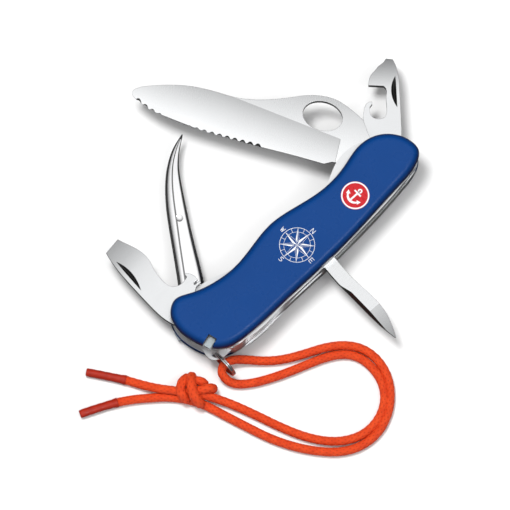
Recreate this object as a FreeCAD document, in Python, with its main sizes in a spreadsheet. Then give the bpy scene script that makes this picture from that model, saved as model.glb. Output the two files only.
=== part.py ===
import math
import os

import FreeCAD
import Part
import Sketcher
from FreeCAD import Vector as V

# Folding rigging knife, lying on its back scale, in millimetres.
# +X runs along the handle to the blade pivot, +Y is the side the blade opens from,
# +Z is up through the layers. The origin is the centre of the back scale's flat face.

os.makedirs("parts", exist_ok=True)
doc = FreeCAD.newDocument("RiggingKnife")
sheet = doc.addObject("Spreadsheet::Sheet", "Sizes")

# ---------------------------------------------------------------- driving dimensions
DIMS = {
    "scale_thick": 4.2,         # each plastic scale
    "scale_round": 3.0,         # rounding of the scale's outer rim
    "plate_back": 0.8,          # back liner
    "plate_thin": 0.6,          # spike lock liner and centre liner
    "plate_lock": 0.9,          # blade lock liner
    "bay_spike": 4.5,           # layer that holds the marlin spike
    "bay_opener": 2.8,          # layer that holds both openers and the reamer
    "bay_blade": 2.6,           # layer that holds the main blade
    "side_play": 0.05,          # gap on each flat of a moving tool
    "pin_radius": 1.5,          # the two pivot pins
    "rivet_radius": 1.25,       # the two rivets through the springs
    "pin_play": 0.04,           # radial play of a tool or plate on its pin
    "tang_radius": 6.2,         # round end of each tool that turns on a pivot pin
    "reamer_tang": 2.75,        # round end of the reamer
    "proud": 0.35,              # how far steel stands out of the scales along the back
    "lug_hole": 1.45,            # hole for the key ring
    "ring_radius": 5.1,         # key ring, middle of the wire
    "ring_wire": 0.37,          # radius of the key ring's wire
    "cord_radius": 1.65,        # lanyard cord
    "tip_radius": 1.75,         # shrunk sleeve on the cord's end
}
for row, (word, value) in enumerate(DIMS.items(), start=1):
    sheet.set("A%d" % row, word)
    sheet.set("B%d" % row, str(value))
    sheet.setAlias("B%d" % row, word)
doc.recompute()


def size(word):
    return float(sheet.get(word))


# Height of the underside of each layer, as a formula on the sheet.
Z_BACK_PLATE = "Sizes.scale_thick"
Z_SPIKE = Z_BACK_PLATE + " + Sizes.plate_back"
Z_SPIKE_PLATE = Z_SPIKE + " + Sizes.bay_spike"
Z_OPENER = Z_SPIKE_PLATE + " + Sizes.plate_thin"
Z_CENTRE_PLATE = Z_OPENER + " + Sizes.bay_opener"
Z_BLADE = Z_CENTRE_PLATE + " + Sizes.plate_thin"
Z_LOCK_PLATE = Z_BLADE + " + Sizes.bay_blade"
Z_FRONT = Z_LOCK_PLATE + " + Sizes.plate_lock"


def height(formula):
    total = 0.0
    for term in formula.split("+"):
        total += size(term.strip().replace("Sizes.", ""))
    return total


PIVOT = (44.0, 3.4)             # pin of the main blade and the can opener
RING_PIVOT = (-49.0, 2.2)       # pin of the bottle opener and the marlin spike
REAMER_PIVOT = (3.3, -10.4)     # rivet that the reamer turns on
SPRING_RIVET = (-12.0, -11.6)   # second rivet through the springs
LUG_HOLE = (-51.2, -10.6)       # key ring hole in the spike lock liner

# ---------------------------------------------------------------- handle outline
TOP_EDGE = [(-55.6, 8.4), (-53.6, 11.4), (-49.9, 13.2), (-44.3, 11.4), (-35.3, 8.5), (-25.2, 7.65),
            (-15.0, 9.25), (-4.4, 10.8), (5.2, 9.7), (19.0, 7.7), (30.4, 9.0), (39.5, 11.0),
            (47.6, 9.2), (52.6, 4.7), (54.9, -0.5), (54.7, -5.0), (50.4, -8.2)]
BACK_EDGE = [(50.4, -8.2), (40.3, -10.15), (20.0, -12.4), (-0.15, -13.8), (-20.4, -14.35), (-40.6, -14.5)]
BUTT_EDGE = [(-40.6, -14.5), (-44.6, -13.9), (-48.6, -12.3), (-52.7, -8.3), (-55.6, -1.5), (-56.4, 3.4),
             (-55.6, 8.4)]


def spline(points, closed):
    """A smooth curve through the points, spaced along it by their distances."""
    loop = points + points[:1] if closed else points
    reach = [0.0]
    for (ax, ay), (bx, by) in zip(loop, loop[1:]):
        reach.append(reach[-1] + math.hypot(bx - ax, by - ay))
    curve = Part.BSplineCurve()
    curve.interpolate(Points=[V(x, y, 0) for x, y in points], PeriodicFlag=closed, Parameters=reach)
    return curve


def handle_loop(points, parts=4):
    """A smooth closed outline, in a few edges that run into each other without a corner."""
    whole = spline(points, True)
    first, last = whole.FirstParameter, whole.LastParameter
    edges = []
    for part in range(parts):
        piece = whole.copy()
        piece.segment(first + (last - first) * part / parts, first + (last - first) * (part + 1) / parts)
        edges.append(piece)
    return edges


def polyline(points):
    return [Part.LineSegment(V(ax, ay, 0), V(bx, by, 0)) for (ax, ay), (bx, by) in zip(points, points[1:])]


def outline(*pieces):
    """Edges of a closed outline: a list of points is a smooth curve, a tuple of points is straight."""
    edges = []
    for piece in pieces:
        if isinstance(piece, tuple):
            edges += polyline(piece)
        else:
            edges.append(spline(piece, False))
    return edges


def inset(points, by):
    """The outline moved towards its inside, a little at every point."""
    moved = []
    count = len(points)
    for i, (x, y) in enumerate(points):
        (ax, ay), (bx, by_) = points[i - 1], points[(i + 1) % count]
        run = math.hypot(bx - ax, by_ - ay)
        moved.append((x + by * (by_ - ay) / run, y - by * (bx - ax) / run))
    return moved


# ---------------------------------------------------------------- helpers for the pieces
pieces = {}


def plane_of(body, role):
    return [f for f in body.Origin.OriginFeatures if f.Role == role][0]


def new_sketch(body, name, edges, role="XY_Plane"):
    sketch = body.newObject("Sketcher::SketchObject", name)
    sketch.AttachmentSupport = (plane_of(body, role), [""])
    sketch.MapMode = "FlatFace"
    for edge in edges:
        sketch.addGeometry(edge, False)
    return sketch


def add_hole(sketch, centre, formula):
    index = sketch.addGeometry(Part.Circle(V(centre[0], centre[1], 0), V(0, 0, 1), 1.0), False)
    constraint = sketch.addConstraint(Sketcher.Constraint("Radius", index, 1.0))
    sketch.addConstraint(Sketcher.Constraint("DistanceX", -1, 1, index, 3, centre[0]))
    sketch.addConstraint(Sketcher.Constraint("DistanceY", -1, 1, index, 3, centre[1]))
    sketch.setExpression("Constraints[%d]" % constraint, formula)


def plate(name, edges, thickness, bottom, holes=(), inner=(), keep=True):
    """A flat piece: one sketch with its holes, padded upwards from the height `bottom`."""
    body = doc.addObject("PartDesign::Body", name + "_body")
    sketch = new_sketch(body, name + "_outline", list(edges) + list(inner))
    for centre, formula in holes:
        add_hole(sketch, centre, formula)
    pad = body.newObject("PartDesign::Pad", name + "_pad")
    pad.Profile = sketch
    pad.setExpression("Length", thickness)
    sketch.Visibility = False
    body.setExpression("Placement.Base.z", bottom)
    if keep:
        pieces[name] = body
    return body


def cut(name, base, tools, keep=True):
    """The base with every tool taken away in turn."""
    result = base
    for number, tool in enumerate(tools):
        step = doc.addObject("Part::Cut", "%s_cut_%d" % (name, number))
        step.Base = result
        step.Tool = tool
        result = step
    if keep:
        pieces[name] = result
    return result


def box(name, corner, lengths, placement=None):
    solid = doc.addObject("Part::Box", name)
    solid.Length, solid.Width, solid.Height = lengths
    solid.Placement = FreeCAD.Placement(V(*corner), FreeCAD.Rotation())
    if placement is not None:
        solid.Placement = placement.multiply(solid.Placement)
    return solid


def cylinder(name, centre, radius, bottom, length):
    solid = doc.addObject("Part::Cylinder", name)
    solid.setExpression("Radius", radius)
    solid.setExpression("Height", length)
    solid.Placement.Base = V(centre[0], centre[1], 0)
    solid.setExpression("Placement.Base.z", bottom)
    return solid


PIN_HOLE = "Sizes.pin_radius + Sizes.pin_play"
RIVET_HOLE = "Sizes.rivet_radius + Sizes.pin_play"
PIVOT_HOLES = [(PIVOT, PIN_HOLE), (RING_PIVOT, PIN_HOLE)]
RIVET_HOLES = [(REAMER_PIVOT, RIVET_HOLE), (SPRING_RIVET, RIVET_HOLE)]

# ---------------------------------------------------------------- scales
SCALE_OUTLINE = TOP_EDGE + BACK_EDGE[1:] + BUTT_EDGE[1:-1]


def scale(name, face_up):
    """One plastic scale: padded, its outer rim rounded, with its flat side towards the liners."""
    body = doc.addObject("PartDesign::Body", name + "_body")
    sketch = new_sketch(body, name + "_outline", handle_loop(SCALE_OUTLINE))
    pad = body.newObject("PartDesign::Pad", name + "_pad")
    pad.Profile = sketch
    pad.setExpression("Length", "Sizes.scale_thick")
    pad.Reversed = not face_up
    doc.recompute()
    outer = size("scale_thick") if face_up else -size("scale_thick")
    rim = ["Edge%d" % (i + 1) for i, edge in enumerate(pad.Shape.Edges)
           if all(abs(vertex.Point.z - outer) < 1e-6 for vertex in edge.Vertexes)]
    rounding = body.newObject("PartDesign::Fillet", name + "_rim")
    rounding.Base = (pad, rim)
    rounding.setExpression("Radius", "Sizes.scale_round")
    body.setExpression("Placement.Base.z", Z_FRONT if face_up else "Sizes.scale_thick")
    return body


def cutter(name, edges, bottom, top):
    """A plain extrusion between two heights, used only to cut with."""
    face = Part.Face(Part.Wire(Part.__sortEdges__([edge.toShape() for edge in edges])))
    solid = doc.addObject("Part::Feature", name)
    solid.Shape = face.extrude(V(0, 0, top - bottom))
    solid.Placement.Base.z = bottom
    return solid


FRONT_FACE = height(Z_FRONT)                        # inner face of the front scale
FRONT_TOP = FRONT_FACE + size("scale_thick")
HEAD_RADIUS = size("pin_radius") + 0.7              # heads of the pins, sunk into the scales
HEAD_THICK = 0.6
RECESS_PLAY = 0.1
LIFT_ROOM = 0.6                                     # room for the blade lock under the front scale


def head_recesses(name, bottom, top):
    solids = []
    for number, centre in enumerate((PIVOT, RING_PIVOT, REAMER_PIVOT, SPRING_RIVET)):
        solid = doc.addObject("Part::Cylinder", "%s_recess_%d" % (name, number))
        solid.Radius = HEAD_RADIUS + RECESS_PLAY
        solid.Height = top - bottom
        solid.Placement.Base = V(centre[0], centre[1], bottom)
        solids.append(solid)
    return solids


# ---------------------------------------------------------------- lock tongues
# Each locking liner is one sheet on the real knife. Its springy tongue is a piece of its own
# here, cut free along a slot, so that it can be pressed.
SLOT = 0.4
BLADE_TONGUE = ([(-4.0, 10.3), (5.2, 9.3), (14.0, 7.75), (19.0, 7.7), (24.5, 10.0), (29.5, 12.2),
                 (35.0, 12.9), (39.0, 12.4), (42.2, 10.8)],
                [(42.2, 10.8), (39.2, 8.4), (37.8, 5.0), (35.0, 2.4)],
                ((35.0, 2.4), (-4.0, 2.4), (-4.0, 10.3)))
SPIKE_TONGUE = ([(-8.0, 10.0), (-15.0, 8.7), (-19.0, 7.9), (-24.0, 8.5), (-28.5, 9.9), (-33.0, 11.4),
                 (-37.5, 12.3), (-41.8, 12.3), (-44.5, 10.9)],
                [(-44.5, 10.9), (-42.2, 7.2), (-41.0, 4.5), (-39.0, 2.0)],
                ((-39.0, 2.0), (-8.0, 2.0), (-8.0, 10.0)))


def tongue_room(name, tongue, side_way, by, bottom, top):
    """The space round a tongue: its inner sides moved out by a gap, and open past its outer edge."""
    _, side, base = tongue
    moved = [(x + side_way * by, y - by) for x, y in side]
    root = base[-1][0] - side_way * by
    beyond = 17.0
    return cutter(name, outline(moved, (moved[-1], (root, moved[-1][1]), (root, beyond),
                                        (moved[0][0], beyond), moved[0])), bottom, top)


# ---------------------------------------------------------------- frames of the opened tools
def tool_frame(origin, angle):
    return FreeCAD.Placement(V(origin[0], origin[1], 0), FreeCAD.Rotation(V(0, 0, 1), angle))


def local(frame, point):
    moved = frame.inverse().multVec(V(point[0], point[1], 0))
    return (moved.x, moved.y)


def round_tang(pivot, radius, start, end):
    """Arc of the tang round its pin, counter-clockwise from one angle to the other."""
    points = []
    for angle in (start, (start + end) / 2.0, end):
        turn = math.radians(angle)
        points.append(V(pivot[0] + radius * math.cos(turn), pivot[1] + radius * math.sin(turn), 0))
    return Part.Arc(*points)


def arc_end(pivot, radius, angle):
    turn = math.radians(angle)
    return (pivot[0] + radius * math.cos(turn), pivot[1] + radius * math.sin(turn))


def tool_plate(name, frame, edges, thickness, bottom, holes, keep=False):
    body = plate(name, edges, thickness, bottom, holes=holes, keep=keep)
    body.Placement = frame
    body.setExpression("Placement.Base.z", bottom)
    return body


GRIND_REACH = 60.0                  # how far a grinding cut runs past the tool, across and above it
GRIND_DEPTH = 12.0
STRAIGHT_ACROSS = (V(1, 0, 0), V(0, 1, 0))


def grind(name, frame, start, end, edge, bottom, thick, edge_thick, faces=(1, -1)):
    """Flats ground from the line start-end down to a thin edge, square across the tool at both ends."""
    middle = bottom + thick / 2.0
    wedges = []
    for side in faces:
        a = V(start[0], start[1], middle + side * thick / 2.0)
        b = V(end[0], end[1], middle + side * thick / 2.0)
        c = V(edge[0], edge[1], middle + side * edge_thick / 2.0)
        out = (b - a).cross(c - a).normalize()
        if out.z * side < 0:
            out = out * -1
        across = STRAIGHT_ACROSS[1] if abs(b.x - a.x) > abs(b.y - a.y) else STRAIGHT_ACROSS[0]
        if across.dot(c - b) < 0:
            across = across * -1
        down = (across - V(0, 0, out.dot(across) / out.z)) * GRIND_REACH
        face = Part.Face(Part.makePolygon([a, b, b + down, a + down, a]))
        wedge = doc.addObject("Part::Feature", "%s_grind_%s" % (name, "front" if side > 0 else "back"))
        wedge.Shape = face.extrude(out * GRIND_DEPTH)
        wedge.Placement = frame
        wedges.append(wedge)
    return wedges


def falling_tip(name, frame, start, end, bottom, thick, tip_thick):
    """Both flats fall away in a long even curve from `start` along the tool to its end."""
    drop = (thick - tip_thick) / 2.0
    radius = (end - start) ** 2 / (2.0 * drop)
    half_wide, below, above = 30.0, 5.0, 1.0
    cuts = []
    for side in (1, -1):
        surface = bottom + (thick if side > 0 else 0.0)
        low = surface - below if side > 0 else surface - above
        slab = Part.makeBox(GRIND_REACH, 2 * half_wide, below + above, V(start, -half_wide, low))
        drum = Part.makeCylinder(radius, 2 * half_wide,
                                 V(start, -half_wide, surface - side * radius), V(0, 1, 0))
        fall = doc.addObject("Part::Feature", "%s_tip_%s" % (name, "front" if side > 0 else "back"))
        fall.Shape = slab.cut(drum)
        fall.Placement = frame
        cuts.append(fall)
    return cuts


def nick(name, frame, start, end, width, inward, surface):
    """A thumbnail groove: the rim of a tilted disc, straight along start-end and curved on the other side."""
    a, b = V(start[0], start[1], surface), V(end[0], end[1], surface)
    along = (b - a).normalize()
    aside = V(-along.y, along.x, 0) * inward
    falling = (aside - V(0, 0, 1)).normalize()
    half_length, reach = (b - a).Length / 2.0, width / math.sqrt(2.0)
    radius = (half_length ** 2 + reach ** 2) / (2.0 * reach)
    centre = (a + b) * 0.5 - falling * (radius - reach)
    disc = doc.addObject("Part::Cylinder", name)
    disc.Radius = radius
    disc.Height = 2.0 * width
    turn = FreeCAD.Rotation(V(0, 0, 1), aside + V(0, 0, 1))
    disc.Placement = frame.multiply(FreeCAD.Placement(centre, turn))
    return disc


PLAY = size("side_play")


def tool_thickness(bay, washer=0.0):
    return "Sizes.%s - 2 * Sizes.side_play - %s" % (bay, washer)


# ---------------------------------------------------------------- main blade
BLADE_FRAME = tool_frame((42.0, -2.0), 125.0)
BLADE_PIN = local(BLADE_FRAME, PIVOT)
BLADE_EDGE = [(23.4, 3.5), (28.5, 3.2), (36.8, 2.8), (46.9, 2.5), (57.0, 2.1), (67.7, 1.5), (76.6, 0.85),
              (82.4, 0.0), (88.3, -1.4), (92.5, -2.9), (96.2, -4.7), (97.9, -5.8), (98.5, -7.0)]
BLADE_SPINE = [(98.5, -7.0), (98.1, -8.1), (97.0, -9.0), (95.4, -9.95), (93.4, -10.65), (89.4, -11.85),
               (85.4, -12.85), (81.2, -13.65), (77.0, -14.1), (72.8, -14.2), (68.4, -14.05), (64.0, -13.7),
               (60.5, -13.55), (57.6, -13.75), (51.4, -14.8), (46.4, -16.2), (40.0, -18.5), (35.5, -20.2),
               (30.0, -21.3), (24.5, -21.1), (19.2, -19.2), (13.0, -15.9)]
TOOTH_FIRST = 48.65
TOOTH_PITCH = 2.94
TOOTH_COUNT = 17
TOOTH_RADIUS = 1.8
TOOTH_DROP = 0.45                   # how deep the cutter enters at the edge
TOOTH_TILT = 30.0
TOOTH_LENGTH = 20.0
EDGE_THICK = 0.25


def edge_height(along, points):
    for (ax, ay), (bx, by) in zip(points, points[1:]):
        if ax <= along <= bx:
            return ay + (by - ay) * (along - ax) / (bx - ax)
    return points[-1][1]


def blade_teeth(middle):
    """Scallops ground into the front flat along the outer half of the edge."""
    teeth = []
    lean = math.radians(TOOTH_TILT)
    axis, square = V(0, math.cos(lean), -math.sin(lean)), V(0, math.sin(lean), math.cos(lean))
    turn = FreeCAD.Rotation(V(0, 0, 1), axis)
    for number in range(TOOTH_COUNT):
        along = TOOTH_FIRST + TOOTH_PITCH * number
        lowest = V(along, edge_height(along, BLADE_EDGE), middle + EDGE_THICK / 2.0 - TOOTH_DROP)
        tooth = doc.addObject("Part::Cylinder", "main_blade_tooth_%02d" % number)
        tooth.Radius = TOOTH_RADIUS
        tooth.Height = TOOTH_LENGTH
        base = lowest + square * TOOTH_RADIUS - axis * (TOOTH_LENGTH / 2.0)
        tooth.Placement = BLADE_FRAME.multiply(FreeCAD.Placement(base, turn))
        teeth.append(tooth)
    fan = doc.addObject("Part::Compound", "main_blade_teeth")
    fan.Links = teeth
    return fan


def make_main_blade():
    tang = size("tang_radius")
    start, end = 62.0, 322.0
    first, last = arc_end(BLADE_PIN, tang, start), arc_end(BLADE_PIN, tang, end)
    edges = outline(BLADE_EDGE, BLADE_SPINE, (BLADE_SPINE[-1], last))
    edges.append(round_tang(BLADE_PIN, tang, start, end))
    edges += outline([first, (12.0, 2.2), (17.4, 3.3)], ((17.4, 3.3), (19.3, 2.15), (20.6, 2.15)),
                     [(20.6, 2.15), (21.9, 2.8), (23.4, 3.5)])
    body = tool_plate("main_blade", BLADE_FRAME, edges, tool_thickness("bay_blade"),
                      Z_BLADE + " + Sizes.side_play", [(BLADE_PIN, PIN_HOLE)])
    bottom = height(Z_BLADE) + PLAY
    thick = size("bay_blade") - 2 * PLAY
    wedges = grind("main_blade", BLADE_FRAME, (19.4, -6.85), (119.4, -22.65), (60.0, 1.5),
                   bottom, thick, EDGE_THICK)
    hole = doc.addObject("Part::Ellipse", "thumb_hole_outline")
    hole.MajorRadius, hole.MinorRadius = 7.5, 5.5
    hole.Placement = BLADE_FRAME.multiply(
        FreeCAD.Placement(V(27.8, -13.9, bottom - 1), FreeCAD.Rotation(V(0, 0, 1), -4.0)))
    tube = doc.addObject("Part::Extrusion", "thumb_hole")
    tube.Base = hole
    tube.Dir = V(0, 0, 6)
    tube.Solid = True
    cut("main_blade", body, wedges + [tube, blade_teeth(bottom + thick / 2.0)])


# ---------------------------------------------------------------- can opener
CAN_FRAME = tool_frame((46.5, 1.5), 48.5)
CAN_PIN = local(CAN_FRAME, PIVOT)


def make_can_opener():
    tang = size("tang_radius")
    start, end = 40.0, 312.0
    first, last = arc_end(CAN_PIN, tang, start), arc_end(CAN_PIN, tang, end)
    edges = [round_tang(CAN_PIN, tang, start, end)]
    edges += outline((last, (7.2, -4.3)),
                     [(7.2, -4.3), (16.0, -4.1), (24.0, -3.8), (30.0, -3.5), (36.7, -1.4)],
                     ((36.7, -1.4), (37.0, 1.2), (35.7, 1.9), (34.0, 4.0), (32.0, 5.6)),
                     [(32.0, 5.6), (29.8, 7.2), (26.7, 7.7)],
                     ((26.7, 7.7), (26.4, 2.2)),
                     [(26.4, 2.2), (25.6, 1.4), (22.0, 1.2), (17.0, 1.1), (14.5, 2.0), (13.9, 4.2),
                      (14.8, 6.5), (16.8, 7.3), (18.6, 7.2)],
                     ((18.6, 7.2), (19.6, 6.4), (20.4, 6.4)),
                     [(20.4, 6.4), (20.0, 8.2), (17.4, 9.5), (13.0, 9.8), (10.0, 9.1), first])
    body = tool_plate("can_opener", CAN_FRAME, edges, tool_thickness("bay_opener"),
                      Z_OPENER + " + Sizes.side_play", [(CAN_PIN, PIN_HOLE)])
    bottom = height(Z_OPENER) + PLAY
    thick = size("bay_opener") - 2 * PLAY
    groove = nick("can_opener_nick", CAN_FRAME, (18.3, -2.85), (30.6, -2.35), 1.9, 1, bottom + thick)
    tip = falling_tip("can_opener", CAN_FRAME, 26.0, 37.0, bottom, thick, 1.1)
    cut("can_opener", body, [groove] + tip)


# ---------------------------------------------------------------- bottle opener
BOTTLE_FRAME = tool_frame((-49.0, -1.0), 92.0)
BOTTLE_PIN = local(BOTTLE_FRAME, RING_PIVOT)
LOCK_LIFT = 0.45            # the opener rides this much clear of the spike lock


def make_bottle_opener():
    tang = size("tang_radius")
    start, end = 58.0, 298.0
    first, last = arc_end(BOTTLE_PIN, tang, start), arc_end(BOTTLE_PIN, tang, end)
    edges = [round_tang(BOTTLE_PIN, tang, start, end)]
    edges += outline([last, (8.6, -6.4), (12.4, -8.2)],
                     ((12.4, -8.2), (13.2, -9.6), (13.2, -11.9)),
                     [(13.2, -11.9), (14.0, -11.9)],
                     ((14.0, -11.9), (14.0, -9.6), (14.8, -9.6), (14.8, -11.8)),
                     [(14.8, -11.8), (17.6, -11.6), (19.5, -10.4)],
                     ((19.5, -10.4), (19.4, -9.7), (18.2, -9.6)),
                     [(18.2, -9.6), (17.8, -7.4), (18.1, -5.0), (20.0, -2.8), (24.0, -2.2), (28.0, -2.7),
                      (32.5, -4.0), (37.0, -4.0), (42.0, -2.6), (46.3, -1.2)],
                     ((46.3, -1.2), (45.5, 5.5)),
                     [(45.5, 5.5), (38.0, 6.9), (28.0, 7.5), (20.0, 7.7), (12.0, 7.2), first])
    body = tool_plate("bottle_opener", BOTTLE_FRAME, edges, tool_thickness("bay_opener", LOCK_LIFT),
                      Z_OPENER + " + Sizes.side_play + %s" % LOCK_LIFT, [(BOTTLE_PIN, PIN_HOLE)])
    bottom = height(Z_OPENER) + PLAY + LOCK_LIFT
    thick = size("bay_opener") - 2 * PLAY - LOCK_LIFT
    groove = nick("bottle_opener_nick", BOTTLE_FRAME, (26.3, 6.1), (41.9, 5.35), 1.8, -1, bottom + thick)
    tip = falling_tip("bottle_opener", BOTTLE_FRAME, 31.0, 46.3, bottom, thick, 0.7)
    cut("bottle_opener", body, [groove] + tip)


# ---------------------------------------------------------------- reamer
REAMER_FRAME = tool_frame((2.0, -9.0), -90.0)
REAMER_PIN = local(REAMER_FRAME, REAMER_PIVOT)


def make_reamer():
    tang = size("reamer_tang")
    start, end = 90.0, 270.0
    first, last = arc_end(REAMER_PIN, tang, start), arc_end(REAMER_PIN, tang, end)
    edges = [round_tang(REAMER_PIN, tang, start, end)]
    edges += outline([last, (4.0, -1.8), (8.3, -2.1), (13.0, -2.2)],
                     [(13.0, -2.2), (16.4, -2.0), (20.1, -1.85), (25.0, -1.7), (30.4, -1.5), (34.3, -1.25),
                      (37.8, -0.85), (41.6, -0.25)],
                     ((41.6, -0.25), (41.7, 0.05)),
                     [(41.7, 0.05), (40.0, 0.9), (37.3, 2.1), (33.5, 3.3), (29.7, 3.85), (25.8, 3.9),
                      (21.6, 3.6), (15.0, 3.1), (9.5, 3.05), (5.3, 3.3), first])
    body = tool_plate("reamer", REAMER_FRAME, edges, tool_thickness("bay_opener"),
                      Z_OPENER + " + Sizes.side_play", [(REAMER_PIN, RIVET_HOLE)])
    bottom = height(Z_OPENER) + PLAY
    thick = size("bay_opener") - 2 * PLAY
    bevel = grind("reamer_start", REAMER_FRAME, (13.4, -2.25), (18.3, -0.85), (18.3, -2.05),
                  bottom, thick, 0.1, (1,))
    bevel += grind("reamer", REAMER_FRAME, (18.3, -0.85), (42.5, -0.25), (26.0, -1.7),
                   bottom, thick, 0.1, (1,))
    tip = grind("reamer_tip", REAMER_FRAME, (28.2, -9.0), (28.2, 9.0), (41.6, 0.0), bottom, thick, 1.0)
    cut("reamer", body, bevel + tip)


# ---------------------------------------------------------------- marlin spike
SPIKE_FRAME = tool_frame((-49.0, 0.0), 55.0)
SPIKE_PIN = local(SPIKE_FRAME, RING_PIVOT)
# along the spike: right edge, ridge and left edge of the section, and half its thickness
SPIKE_SECTIONS = [(13.0, -3.5, 2.9, 6.2, 2.2), (19.0, -3.25, 3.1, 6.25, 2.2), (27.0, -2.4, 3.3, 6.5, 2.2),
                  (36.0, -1.3, 3.5, 6.9, 2.2), (43.0, -0.6, 3.6, 7.15, 2.15), (49.0, -0.1, 3.7, 7.1, 2.05),
                  (55.0, 0.35, 3.55, 6.6, 1.9), (60.5, 0.6, 3.0, 5.6, 1.65), (66.0, 0.1, 1.7, 3.75, 1.3),
                  (70.4, -1.0, -0.1, 1.4, 0.95), (73.0, -1.9, -1.35, -0.6, 0.55), (74.5, -2.3, -2.1, -1.85, 0.2)]
RIDGE_STEP = (0.28, 0.15)           # width and drop of the step beside the ridge, in half thicknesses
ROUND_PULL = 0.5523                 # handle of a cubic curve that follows a quarter ellipse


def quarter(along, start, corner, end):
    """A quarter ellipse across the spike, from start to end, both given as (across, height)."""
    near = [a + (c - a) * ROUND_PULL for a, c in zip(start, corner)]
    far = [b + (c - b) * ROUND_PULL for b, c in zip(end, corner)]
    curve = Part.BezierCurve()
    curve.setPoles([V(along, across, high) for across, high in (start, near, far, end)])
    return curve.toShape()


def spike_section(along, right, ridge, left, half, middle):
    """Flat above and below from its right edge to the ridge, then a step down and round on its left side."""
    shoulder = right + 0.3 * (ridge - right)
    top, low = middle + half, middle - half
    step_out, step_down = ridge + RIDGE_STEP[0] * half, RIDGE_STEP[1] * half
    return Part.Wire([
        Part.makeLine(V(along, shoulder, top), V(along, ridge, top)),
        Part.makeLine(V(along, ridge, top), V(along, step_out, top - step_down)),
        quarter(along, (step_out, top - step_down), (left, top - step_down), (left, middle)),
        quarter(along, (left, middle), (left, low + step_down), (step_out, low + step_down)),
        Part.makeLine(V(along, step_out, low + step_down), V(along, ridge, low)),
        Part.makeLine(V(along, ridge, low), V(along, shoulder, low)),
        quarter(along, (shoulder, low), (right, low), (right, middle)),
        quarter(along, (right, middle), (right, top), (shoulder, top))])


def make_marlin_spike():
    tang = size("tang_radius")
    bottom = height(Z_SPIKE) + PLAY
    thick = size("bay_spike") - 2 * PLAY
    middle = bottom + thick / 2.0
    shank = Part.makeLoft([spike_section(*section, middle) for section in SPIKE_SECTIONS], True, False)
    start, end = 52.0, 308.0
    first, last = arc_end(SPIKE_PIN, tang, start), arc_end(SPIKE_PIN, tang, end)
    edges = [round_tang(SPIKE_PIN, tang, start, end)]
    edges += outline((last, (12.0, -3.4), (15.5, -2.2), (15.5, 3.0), (12.0, 6.2), first))
    base = Part.Face(Part.Wire(Part.__sortEdges__([edge.toShape() for edge in edges])))
    flat = base.extrude(V(0, 0, thick))
    flat.translate(V(0, 0, bottom))
    pin = Part.makeCylinder(size("pin_radius") + size("pin_play"), 8,
                            V(SPIKE_PIN[0], SPIKE_PIN[1], bottom - 1))
    dimple = Part.makeSphere(3.2, V(42.7, 2.7, middle + 5.05))
    spike = doc.addObject("Part::Feature", "marlin_spike_shape")
    spike.Shape = shank.fuse(flat).cut(pin).cut(dimple)
    spike.Placement = SPIKE_FRAME
    pieces["marlin_spike"] = spike


# ---------------------------------------------------------------- liners
LINER_INSET = 0.35
LUG = ([(-53.6, -4.0), (-54.0, -7.5), (-53.6, -11.4), (-51.8, -12.9), (-47.5, -13.5), (-40.0, -14.2)],
       ((-40.0, -14.2), (-44.0, -6.0), (-53.6, -4.0)))


def liner_outline():
    """The steel liners: just inside the scales along the tools, proud of them along the back."""
    inner = inset(SCALE_OUTLINE, LINER_INSET)
    outer = inset(SCALE_OUTLINE, -size("proud"))
    first = len(TOP_EDGE)
    last = first + len(BACK_EDGE) - 1
    return handle_loop(inner[:first] + outer[first:last] + inner[last:])


def make_liners():
    holes = PIVOT_HOLES + RIVET_HOLES
    plate("back_liner", liner_outline(), "Sizes.plate_back", Z_BACK_PLATE, holes)
    plate("centre_liner", liner_outline(), "Sizes.plate_thin", Z_CENTRE_PLATE, holes)

    lock_sheet = plate("blade_lock_liner", liner_outline(), "Sizes.plate_lock", Z_LOCK_PLATE, holes)
    slot = tongue_room("blade_lock_slot", BLADE_TONGUE, 1, SLOT, FRONT_FACE - 2, FRONT_FACE + 1)
    cut("blade_lock_liner", lock_sheet, [slot])
    plate("blade_lock_tongue", outline(*BLADE_TONGUE), "Sizes.plate_lock", Z_LOCK_PLATE)

    lock_sheet = plate("spike_lock_liner", liner_outline(), "Sizes.plate_thin", Z_SPIKE_PLATE, holes)
    lug = plate("key_ring_lug", outline(*LUG), "Sizes.plate_thin", Z_SPIKE_PLATE, keep=False)
    joined = doc.addObject("Part::Fuse", "spike_lock_with_lug")
    joined.Base = lock_sheet
    joined.Tool = lug
    bottom = height(Z_SPIKE_PLATE)
    slot = tongue_room("spike_lock_slot", SPIKE_TONGUE, -1, SLOT, bottom - 1, bottom + 2)
    hole = cylinder("key_ring_hole", LUG_HOLE, "Sizes.lug_hole", Z_SPIKE, "Sizes.bay_spike + 2")
    cut("spike_lock_liner", joined, [slot, hole])
    plate("spike_lock_tongue", outline(*SPIKE_TONGUE), "Sizes.plate_thin", Z_SPIKE_PLATE)


# ---------------------------------------------------------------- springs
NOSE_GAP = 0.3                      # between a spring's nose and the round tang above it
NOSE_RADIUS = size("tang_radius") + NOSE_GAP


def back_strip(from_x, to_x):
    """The proud back edge between two places along the handle, from the blade end leftwards."""
    proud = size("proud")
    edge = BACK_EDGE + BUTT_EDGE[1:3]
    inner = [(x, y - proud) for x, y in edge if to_x < x < from_x]
    whole = [(x, y - proud) for x, y in edge[::-1]]
    ends = [(x, edge_height(x, whole)) for x in (from_x, to_x)]
    return [ends[0]] + inner + [ends[1]]


def nose(centre, start, end):
    return round_tang(centre, NOSE_RADIUS, start, end), arc_end(centre, NOSE_RADIUS, start), \
        arc_end(centre, NOSE_RADIUS, end)


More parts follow.
